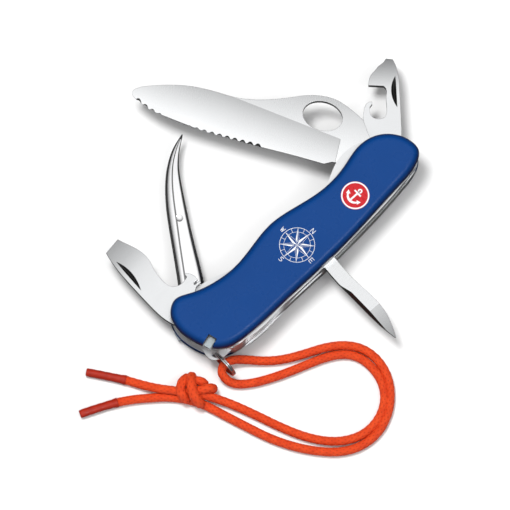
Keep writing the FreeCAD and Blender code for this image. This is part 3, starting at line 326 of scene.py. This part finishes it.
# The spike's leaning flanks get near-black painted shade, in place of dark reflections.
SPIKE = steel("spike_steel", (0.90, 0.90, 0.91), roughness=0.07, heading=55.0, strength=0.01,
              wall_shade=(0.02, 0.30, 0.85))
RING = steel("ring_steel", (0.62, 0.62, 0.63), roughness=0.10, lines=(4.0, 4.0, 4.0), strength=0.02)
ARMS = steel("tweezer_steel", (0.70, 0.70, 0.71), roughness=0.22)
RED = print_material("emblem_red", (0.50, 0.010, 0.016), roughness=0.28)
WHITE = print_material("print_white", (0.80, 0.81, 0.83))
CORD = cord_material()
SLEEVE = sleeve_material()

FINISHES = {
    "front_scale": BLUE, "back_scale": SHADED_BACK_BLUE, "toothpick": PICK, "tweezer_cap": CAP, "tweezer_arms": ARMS,
    "back_liner": LINER, "centre_liner": LINER, "blade_lock_liner": LINER, "spike_lock_liner": LINER,
    "blade_lock_tongue": LINER, "spike_lock_tongue": LINER, "blade_spring": SPRING, "opener_spring": SPRING,
    "spike_spring": SPRING, "blade_pivot_pin": BRASS, "ring_end_pivot_pin": BRASS, "reamer_rivet": BRASS,
    "spring_rivet": BRASS, "pivot_bushing": NICKEL, "main_blade": BLADE, "can_opener": CAN,
    "bottle_opener": BOTTLE, "reamer": REAMER, "marlin_spike": SPIKE, "key_ring": RING, "emblem_inlay": RED,
}


def finish_nodes():
    for name, material in FINISHES.items():
        mesh = nodes[name].data
        mesh.materials.clear()
        mesh.materials.append(material)


# ---------------------------------------------------------------- cord
OUTER_ROUTE = metres([
    (-50.6, -14.9, 5.4), (-47.6, -15.2, 4.8), (-43.5, -18.4, 2.8), (-38.2, -23.8, 1.8), (-32.4, -28.0, 1.7),
    (-25.5, -31.4, 1.7), (-18.6, -34.4, 1.7), (-12.6, -38.4, 1.7), (-8.5, -43.6, 1.7), (-6.9, -50.0, 1.7),
    (-8.0, -57.2, 1.7), (-11.8, -63.6, 1.7), (-17.8, -68.8, 1.7), (-25.5, -71.7, 1.7), (-33.8, -71.1, 1.7),
    (-40.8, -67.5, 1.7), (-46.4, -62.0, 1.7), (-51.6, -55.2, 1.7), (-56.4, -46.6, 1.7), (-60.2, -36.6, 1.7),
    (-63.4, -27.8, 1.7), (-66.0, -20.6, 1.7), (-69.6, -14.6, 1.7), (-74.0, -9.6, 1.7), (-79.4, -5.3, 1.7),
    (-84.4, -1.5, 1.7), (-89.0, 1.2, 1.76)])
INNER_ROUTE = metres([
    (-50.6, -14.9, 5.4), (-53.4, -15.6, 5.0), (-54.0, -19.4, 3.2), (-52.2, -23.0, 1.9), (-47.6, -26.5, 1.7),
    (-41.6, -29.6, 1.7), (-34.8, -32.4, 1.7), (-27.6, -34.9, 1.7), (-20.8, -37.4, 1.7), (-15.0, -40.8, 1.7),
    (-11.3, -45.8, 1.7), (-10.4, -52.2, 1.7), (-11.6, -58.8, 1.7), (-15.4, -64.4, 1.7), (-21.6, -67.9, 1.7),
    (-28.8, -68.6, 1.7), (-35.6, -66.2, 1.7), (-41.4, -61.6, 1.7), (-46.6, -54.4, 1.7), (-50.8, -45.6, 1.7),
    (-54.4, -36.4, 1.7), (-57.8, -28.4, 1.8), (-61.6, -21.6, 3.2), (-65.8, -15.6, 4.6), (-70.2, -10.6, 4.2),
    (-74.4, -5.6, 3.4), (-77.8, -0.4, 2.1), (-81.2, 5.4, 1.76)])
OUTER_SLEEVE = metres([(-89.0, 1.2, 1.76), (-95.6, 4.4, 1.8), (-102.4, 7.2, 1.8)])
INNER_SLEEVE = metres([(-81.2, 5.4, 1.76), (-85.4, 11.4, 1.8), (-90.1, 17.5, 1.8)])
CORD_RADIUS = 1.65 * MM
TIP_RADIUS = 1.7 * MM
PLAITS = 6                  # strands of the braid that run each way round
PLAIT_PITCH = 2.5 * MM      # along the cord, from one strand to the next
AROUND = 48                 # points round the braid
STEP = 0.25 * MM            # and along it
STRAND_LIFT = 0.10          # in mm: how far a strand rises where it crosses over another
STRAND_CROWN = 0.13         # in mm: height of a strand's round back
BRAID_BASE = 0.20           # in mm: depth of the braid's lowest place under the cord's radius
GAP_SHADE_START, GAP_SHADE_SPREAD = 0.14, 0.16       # in mm: height at which painted shade in a gap begins, and over how much it deepens


def smooth_line(name, route):
    """The route's smooth line, read from a NURBS spline."""
    curve = bpy.data.curves.new(name, "CURVE")
    curve.dimensions = "3D"
    curve.resolution_u = 24
    spline = curve.splines.new("NURBS")
    spline.points.add(len(route) - 1)
    for point, place in zip(spline.points, route):
        point.co = (*place, 1.0)
    spline.order_u = 3
    spline.use_endpoint_u = True
    holder = bpy.data.objects.new(name, curve)
    mesh = bpy.data.meshes.new_from_object(holder)
    line = [vertex.co.copy() for vertex in mesh.vertices]
    bpy.data.objects.remove(holder)
    bpy.data.curves.remove(curve)
    bpy.data.meshes.remove(mesh)
    return line


def evenly(line, step):
    """The same line with its points a fixed step apart."""
    reached = [0.0]
    for here, there in zip(line, line[1:]):
        reached.append(reached[-1] + (there - here).length)
    count = max(4, round(reached[-1] / step))
    points, index = [], 0
    for number in range(count + 1):
        goal = reached[-1] * number / count
        while index < len(line) - 2 and reached[index + 1] < goal:
            index += 1
        run = reached[index + 1] - reached[index]
        share = (goal - reached[index]) / run if run else 0.0
        points.append(line[index].lerp(line[index + 1], share))
    return points, reached[-1]


def turning_frames(points):
    """At each point, two directions across the line that don't twist about it."""
    headings = []
    for index in range(len(points)):
        low, high = max(0, index - 1), min(len(points) - 1, index + 1)
        headings.append((points[high] - points[low]).normalized())
    side = headings[0].orthogonal().normalized()
    frames = []
    for heading in headings:
        side = (side - heading * side.dot(heading)).normalized()
        frames.append((side, heading.cross(side)))
    return frames


def plait(around, along):
    """How high the braid's surface is, how deep in a gap, and where on its strand, at one spot."""
    first, second = PLAITS * around + along, PLAITS * around - along
    heights = []
    for own, other, sign in ((first, second, 1.0), (second, first, -1.0)):
        middle = round(own)
        off = own - middle
        parity = 1.0 if middle % 2 == 0 else -1.0
        rise = sign * math.cos(math.pi * other) * parity
        crown = math.sqrt(max(0.0, 1.0 - (2.0 * off) ** 2))
        heights.append((STRAND_LIFT * rise + STRAND_CROWN * crown, off, other))
    return max(heights)


def tube_faces(rows, sides):
    """The faces of a closed tube whose points lie in rows of this many sides: its wall, then both ends."""
    faces = []
    for row in range(rows - 1):
        for step in range(sides):
            following = (step + 1) % sides
            a, b = row * sides + step, row * sides + following
            faces.append((a, b, b + sides, a + sides))
    faces.append(tuple(reversed(range(sides))))
    faces.append(tuple(range((rows - 1) * sides, rows * sides)))
    return faces


def placed_piece(name, mesh):
    piece = bpy.data.objects.new(name, mesh)
    scene.collection.objects.link(piece)
    return piece


def braided(name, line, radius=CORD_RADIUS, round_ends=False):
    """A braided tube along a line, with each strand's relief in the mesh."""
    points, length = evenly(line, STEP)
    frames = turning_frames(points)
    vertices, strands, gap_shades = [], [], []
    for row, (point, (side, across)) in enumerate(zip(points, frames)):
        along = length * row / (len(points) - 1)
        closing = 1.0
        if round_ends:
            near = min(along, length - along)
            if near < radius:
                closing = math.sqrt(max(0.0, 1.0 - (1.0 - near / radius) ** 2))
        for step in range(AROUND):
            turn = step / AROUND
            height, off, other = plait(turn, along / PLAIT_PITCH)
            out = (radius - BRAID_BASE * MM + height * MM) * closing
            angle = 2 * math.pi * turn
            vertices.append(point + (side * math.cos(angle) + across * math.sin(angle)) * out)
            strands.append((off, other, 0.0))
            # painted shade in the gaps, from the braid's height at this spot
            gap_shades.append(min(1.0, max(0.0, (GAP_SHADE_START - height) / GAP_SHADE_SPREAD)))
    faces = tube_faces(len(points), AROUND)
    mesh = bpy.data.meshes.new(name)
    mesh.from_pydata(vertices, [], faces)
    mesh.polygons.foreach_set("use_smooth", [True] * len(faces))
    vector = mesh.attributes.new("strand", "FLOAT_VECTOR", "POINT")
    vector.data.foreach_set("vector", [c for s in strands for c in s])
    value = mesh.attributes.new("depth", "FLOAT", "POINT")
    value.data.foreach_set("value", gap_shades)
    mesh.materials.append(CORD)
    mesh.validate()
    return placed_piece(name, mesh)


SLEEVE_STEP, SLEEVE_SIDES = 0.4 * MM, 40
SLEEVE_SWELL, SWELL_REACH = 0.10, 1.2 * MM      # swelling in mm where the sleeve starts on the braid
SLEEVE_TAPER, TAPER_REACH = 0.16, 4.0 * MM      # and how much thinner it soon gets, in mm
SLEEVE_RIPPLES = ((0.035, 2.1), (0.02, 5.3))    # height in mm, and radians of the wave for each mm
SLEEVE_CREASE, CREASE_TWIST = 0.04, 0.2         # height in mm of three creases, and their turn for each mm
END_ROUND, END_DROP = 0.35 * MM, 0.22 * MM      # rounding of the cut end


def sleeve(name, route):
    """The sealed end of a strand: it starts on the braid, narrows a little and ends cut square."""
    points, length = evenly(smooth_line(name, route), SLEEVE_STEP)
    frames = turning_frames(points)
    vertices = []
    for row, (point, (side, across)) in enumerate(zip(points, frames)):
        along = length * row / (len(points) - 1)
        swell = SLEEVE_SWELL * math.exp(-(along / SWELL_REACH) ** 2)
        taper = -SLEEVE_TAPER * min(1.0, along / TAPER_REACH)
        ripple = sum(high * math.sin(along / MM * turns) for high, turns in SLEEVE_RIPPLES)
        end = min(1.0, (length - along) / END_ROUND)
        for step in range(SLEEVE_SIDES):
            angle = 2 * math.pi * step / SLEEVE_SIDES
            crease = SLEEVE_CREASE * math.cos(3 * angle + along / MM * CREASE_TWIST)
            out = TIP_RADIUS + (swell + taper + ripple + crease) * MM
            out -= END_DROP * (1.0 - math.sqrt(max(0.0, end * (2.0 - end))))
            vertices.append(point + (side * math.cos(angle) + across * math.sin(angle)) * out)
    faces = tube_faces(len(points), SLEEVE_SIDES)
    mesh = bpy.data.meshes.new(name)
    mesh.from_pydata(vertices, [], faces)
    mesh.polygons.foreach_set("use_smooth", [True] * (len(faces) - 2) + [False] * 2)
    mesh.materials.append(SLEEVE)
    return placed_piece(name, mesh)


# The knot's turns: the radius of each and points along it.
KNOT_TURNS = {
    "lanyard_knot_left_turn": (1.8, [(-63.3, -9.3, 2.2), (-65.0, -9.3, 4.8), (-67.3, -9.7, 6.0),
            (-69.5, -11.5, 6.2), (-70.2, -14.0, 5.4), (-69.9, -15.9, 2.6)]),
    "lanyard_knot_middle_turn": (1.95, [(-61.9, -9.8, 2.6), (-63.2, -10.4, 5.4), (-65.5, -13.3, 7.3),
            (-67.3, -16.4, 7.4), (-67.5, -19.3, 5.9), (-66.8, -20.3, 2.8)]),
    "lanyard_knot_upper_turn": (1.65, [(-63.4, -11.8, 4.6), (-62.0, -12.9, 5.4),
            (-61.0, -14.6, 4.9), (-60.6, -16.0, 2.6)]),
    "lanyard_knot_right_turn": (1.8, [(-65.2, -15.4, 4.8), (-63.8, -16.5, 6.0), (-61.6, -17.6, 6.3),
            (-59.9, -18.7, 5.0), (-59.4, -19.2, 2.6)]),
}


def make_lanyard():
    outer_line = smooth_line("outer_line", OUTER_ROUTE)
    inner_line = smooth_line("inner_line", INNER_ROUTE)
    outer = braided("lanyard_outer_cord", outer_line)
    inner = braided("lanyard_inner_cord", inner_line)
    outer_tip = sleeve("lanyard_outer_tip", OUTER_SLEEVE)
    inner_tip = sleeve("lanyard_inner_tip", INNER_SLEEVE)
    knot = [braided(name, smooth_line(name, metres(turn)), radius * MM, round_ends=True)
            for name, (radius, turn) in KNOT_TURNS.items()]
    for piece, node in ((outer, "lanyard_outer_strand"), (inner, "lanyard_inner_strand"),
                        (outer_tip, "outer_end_sleeve"), (inner_tip, "inner_end_sleeve"),
                        (knot[0], "lanyard_knot")):
        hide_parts(node)
    for piece in [outer, inner, outer_tip, inner_tip, *knot]:
        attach(piece, "key_ring")


# ---------------------------------------------------------------- marks on the front scale
RING_SIDES = 96
LAYER = 0.0015                  # each outline of a mark stands this much higher than the one before, in mm


def mark(name, loops, rings, low, thick, material):
    """Flat raised marks: closed outlines, and rings of (centre x, y, inner radius, outer radius), in mm."""
    shape = bmesh.new()
    lift = {}
    for number, loop in enumerate(loops):
        corners = [shape.verts.new(Vector((x, y, low)) * MM) for x, y in loop]
        shape.faces.new(corners)
        lift.update({tuple(corner.co): number * LAYER for corner in corners})
    for x, y, inner, outer in rings:
        around = []
        for step in range(RING_SIDES):
            angle = 2 * math.pi * step / RING_SIDES
            reach = Vector((math.cos(angle), math.sin(angle), 0))
            around.append([shape.verts.new((Vector((x, y, low)) + reach * r) * MM) for r in (inner, outer)])
        for step in range(RING_SIDES):
            here, there = around[step], around[(step + 1) % RING_SIDES]
            shape.faces.new((here[0], here[1], there[1], there[0]))
    bmesh.ops.recalc_face_normals(shape, faces=shape.faces[:])
    for face in shape.faces:
        if face.normal.z > 0:
            face.normal_flip()
    grown = bmesh.ops.extrude_face_region(shape, geom=shape.faces[:])
    raised = [item for item in grown["geom"] if isinstance(item, bmesh.types.BMVert)]
    for corner in raised:
        corner.co.z += (thick + lift.get(tuple(corner.co), 0.0)) * MM
    bmesh.ops.recalc_face_normals(shape, faces=shape.faces[:])
    mesh = bpy.data.meshes.new(name)
    shape.to_mesh(mesh)
    shape.free()
    mesh.materials.append(material)
    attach(placed_piece(name, mesh), "handle")


def stroke(x0, y0, x1, y1, width):
    """A straight line with a width, as an outline."""
    along = Vector((x1 - x0, y1 - y0)).normalized() * width / 2.0
    side = Vector((-along.y, along.x))
    ends = [Vector((x0, y0)) - along * 0.6, Vector((x1, y1)) + along * 0.6]
    return [tuple(ends[0] - side), tuple(ends[1] - side), tuple(ends[1] + side), tuple(ends[0] + side)]


# Sizes of the compass rose and its letters, in mm.
COMPASS = (-3.1, -2.05)                     # its centre
OUTER_RING, INNER_RING = 6.5, 4.9
OUTER_HALF, INNER_HALF = 0.08, 0.055        # half the width of each ring's line
TICK_WIDE, OUTLINE_WIDE, LETTER_LINE = 0.14, 0.08, 0.20
POINT_TIP = OUTER_RING + 0.05
MAJOR_WAIST, MAJOR_HALF = 1.75, 0.80        # where a main point is widest, and half that width
MINOR_WAIST, MINOR_HALF, MINOR_BASE = 2.2, 0.62, 1.0
LETTER_REACH = OUTER_RING + 1.35
LETTER_TALL, LETTER_WIDE = 1.7, 1.25
LETTERS = {                                 # strokes of each letter, across and up, from 0 to 1
    "north": [(0, 0, 0, 1), (0, 1, 1, 0), (1, 0, 1, 1)],
    "east": [(0, 0, 0, 1), (0, 0, 1, 0), (0, 0.5, 0.8, 0.5), (0, 1, 1, 1)],
    "south": [(0, 0.08, 0.5, 0), (0.5, 0, 1, 0.2), (1, 0.2, 0.9, 0.42), (0.9, 0.42, 0.1, 0.6),
              (0.1, 0.6, 0.05, 0.82), (0.05, 0.82, 0.5, 1), (0.5, 1, 0.95, 0.92)],
    "west": [(0, 1, 0.25, 0), (0.25, 0, 0.5, 0.8), (0.5, 0.8, 0.75, 0), (0.75, 0, 1, 1)],
}


def on_scale(across, up):
    """From across and up, with north as up, to the row frame's x and y."""
    return COMPASS[0] + up, COMPASS[1] - across


def make_compass():
    """A printed compass rose: two rings with marks between, eight split points, and the four letters."""
    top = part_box("front_scale")[1][2] / MM
    rings = [(*COMPASS, OUTER_RING - OUTER_HALF, OUTER_RING + OUTER_HALF),
             (*COMPASS, INNER_RING - INNER_HALF, INNER_RING + INNER_HALF)]
    ticks, bright, faint = [], [], []
    for step in range(8):
        angle = math.radians(22.5 + 45.0 * step)
        out = Vector((math.sin(angle), math.cos(angle)))
        ticks.append([on_scale(*p) for p in stroke(*(out * INNER_RING), *(out * OUTER_RING), TICK_WIDE)])
    for step in range(8):
        angle = math.radians(45.0 * step)
        out = Vector((math.sin(angle), math.cos(angle)))
        side = Vector((-out.y, out.x))
        if step % 2 == 0:
            base, waist, half = out * 0.0, out * MAJOR_WAIST, MAJOR_HALF
        else:
            base, waist, half = out * MINOR_BASE, out * MINOR_WAIST, MINOR_HALF
        tip, other = out * POINT_TIP, waist - side * half
        bright.append([on_scale(*p) for p in (base, waist + side * half, tip)][::-1])
        faint.append([on_scale(*p) for p in stroke(*base, *other, OUTLINE_WIDE)])
        faint.append([on_scale(*p) for p in stroke(*other, *tip, OUTLINE_WIDE)])
    letters = []
    for strokes, (across, up) in zip(LETTERS.values(), ((0, 1), (1, 0), (0, -1), (-1, 0))):
        for x0, y0, x1, y1 in strokes:
            ends = [(across * LETTER_REACH + (x - 0.5) * LETTER_WIDE,
                     up * LETTER_REACH + (y - 0.5) * LETTER_TALL) for x, y in ((x0, y0), (x1, y1))]
            letters.append([on_scale(*p) for p in stroke(*ends[0], *ends[1], LETTER_LINE)])
    mark("compass_rings", [], rings, top, 0.020, WHITE)
    mark("compass_ticks", ticks, [], top, 0.016, WHITE)
    mark("compass_points", bright, [], top, 0.026, WHITE)
    mark("compass_point_outlines", faint, [], top, 0.012, WHITE)
    mark("compass_letters", letters, [], top, 0.018, WHITE)


ANCHOR_DRAWN_FOR = 4.9          # radius in mm of the disc that the anchor is drawn for
ARM_STEPS = 20
ARM_START, ARM_SWEEP = 202.0, 136.0             # the anchor's arms, as an arc in degrees


def make_emblem():
    """A plain anchor inside a rim, on the red disc."""
    low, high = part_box("emblem_inlay")
    centre, top, radius = (low + high) / 2.0 / MM, high[2] / MM, (high[0] - low[0]) / 2.0 / MM
    x, y = centre[0], centre[1]
    grow = radius / ANCHOR_DRAWN_FOR

    def placed(points):
        return [(x + up * grow, y - across * grow) for across, up in points]

    anchor = [placed(stroke(0, -2.6, 0, 1.7, 0.62)), placed(stroke(-1.35, 1.15, 1.35, 1.15, 0.55))]
    outside, inside = [], []
    for step in range(ARM_STEPS + 1):
        angle = math.radians(ARM_START + ARM_SWEEP * step / ARM_STEPS)
        swell = 0.24 + 0.16 * math.sin(math.pi * step / ARM_STEPS)
        outside.append(((2.6 + swell) * math.cos(angle), 0.15 + (2.7 + swell) * math.sin(angle)))
        inside.append(((2.6 - swell) * math.cos(angle), 0.15 + (2.7 - swell) * math.sin(angle)))
    anchor.append(placed(outside + inside[::-1]))
    for way in (-1, 1):
        anchor.append(placed([(way * 3.05, -0.25), (way * 1.55, -0.75), (way * 2.75, -1.75)][::way]))
    mark("emblem_anchor", anchor, [(x + 2.25 * grow, y, 0.32 * grow, 0.80 * grow)], top, 0.06, WHITE)
    mark("emblem_rim", [], [(x, y, radius - 0.62, radius - 0.10)], top, 0.08, WHITE)


# ---------------------------------------------------------------- floor and light
FLOOR_HALF = 1.5
FLOOR_LEVEL = -0.1 * MM
FLOOR_WHITE, FLOOR_IN_STEEL = (0.84, 0.84, 0.84), (0.10, 0.10, 0.10)    # seen directly, and as a reflection
KEY_LEFT, KEY_FORWARD = 0.19, 0.16          # lean of the key light, for each unit up
KEY_DISTANCE, KEY_SIZE, KEY_POWER = 1.2, 0.34, 11.0


def make_studio():
    """A white floor, a soft key light and a bright dome with a streak for the handle's edge."""
    corners = [(-FLOOR_HALF, -FLOOR_HALF), (FLOOR_HALF, -FLOOR_HALF), (FLOOR_HALF, FLOOR_HALF),
               (-FLOOR_HALF, FLOOR_HALF)]
    mesh = bpy.data.meshes.new("floor")
    mesh.from_pydata([(x, y, FLOOR_LEVEL) for x, y in corners], [], [(0, 1, 2, 3)])
    material, tree, shader = new_material("floor_white", FLOOR_WHITE, roughness=0.95)
    shader.inputs["Specular IOR Level"].default_value = 0.1
    glossy = put(tree, "ShaderNodeLightPath").outputs["Is Glossy Ray"]
    tree.links.new(mixed(tree, glossy, FLOOR_WHITE, FLOOR_IN_STEEL), shader.inputs["Base Color"])
    mesh.materials.append(material)
    placed_piece("floor", mesh)

    flat_up = Vector((math.sin(YAW), math.cos(YAW), 0))
    toward = (-KEY_LEFT * RIGHT + KEY_FORWARD * flat_up + Vector((0, 0, 1))).normalized()
    light = bpy.data.lights.new("key", "AREA")
    light.shape = "DISK"
    light.size = KEY_SIZE
    light.energy = KEY_POWER
    lamp = bpy.data.objects.new("key", light)
    lamp.matrix_world = (Matrix.Translation(AIM + toward * KEY_DISTANCE)
                         @ toward.to_track_quat("Z", "Y").to_matrix().to_4x4())
    lamp.visible_glossy = False
    scene.collection.objects.link(lamp)

    world = bpy.data.worlds.new("studio")
    world.use_nodes = True
    tree = world.node_tree
    heading = put(tree, "ShaderNodeTexCoord").outputs["Generated"]

    def toward_cosine(direction):
        return put(tree, "ShaderNodeVectorMath", {0: heading, 1: direction.normalized()},
                   operation="DOT_PRODUCT").outputs["Value"]

    def added(first, second):
        return put(tree, "ShaderNodeMath", {0: first, 1: second}, operation="ADD").outputs[0]

    def glow(direction, power, inner, outer):
        """A soft patch of light, from full at one angle off its middle to none at another."""
        node = put(tree, "ShaderNodeMapRange",
                   {"Value": toward_cosine(direction), "From Min": math.cos(math.radians(outer)),
                    "From Max": math.cos(math.radians(inner)), "To Min": 0.0, "To Max": power},
                   interpolation_type="SMOOTHSTEP")
        return node.outputs["Result"]

    rise = spread(tree, toward_cosine(Vector((0, 0, 1))), 0.0, 1.0, lowest=0.2, highest=1.0)
    square = put(tree, "ShaderNodeMath", {0: rise, 1: 2.0}, operation="POWER").outputs[0]
    dome = put(tree, "ShaderNodeMath", {0: square, 1: 1.25, 2: 0.03}, operation="MULTIPLY_ADD").outputs[0]
    tilt = spread(tree, toward_cosine(flat_up), 0.15, -0.15, lowest=-0.8, highest=0.8)
    streak = glow(0.425 * RIGHT - 0.256 * flat_up + Vector((0, 0, 0.87)), power=6.0, inner=3.0, outer=12.0)
    total = added(added(dome, tilt), streak)
    bright = put(tree, "ShaderNodeMath", {0: total, 1: 0.02}, operation="MAXIMUM").outputs[0]
    background = tree.nodes["Background"]
    tree.links.new(bright, background.inputs["Strength"])
    background.inputs["Color"].default_value = (1.0, 1.0, 1.0, 1.0)
    scene.world = world
    scene.view_settings.view_transform = "Standard"


make_compass()
make_emblem()
make_camera()
finish_nodes()
make_lanyard()
make_studio()
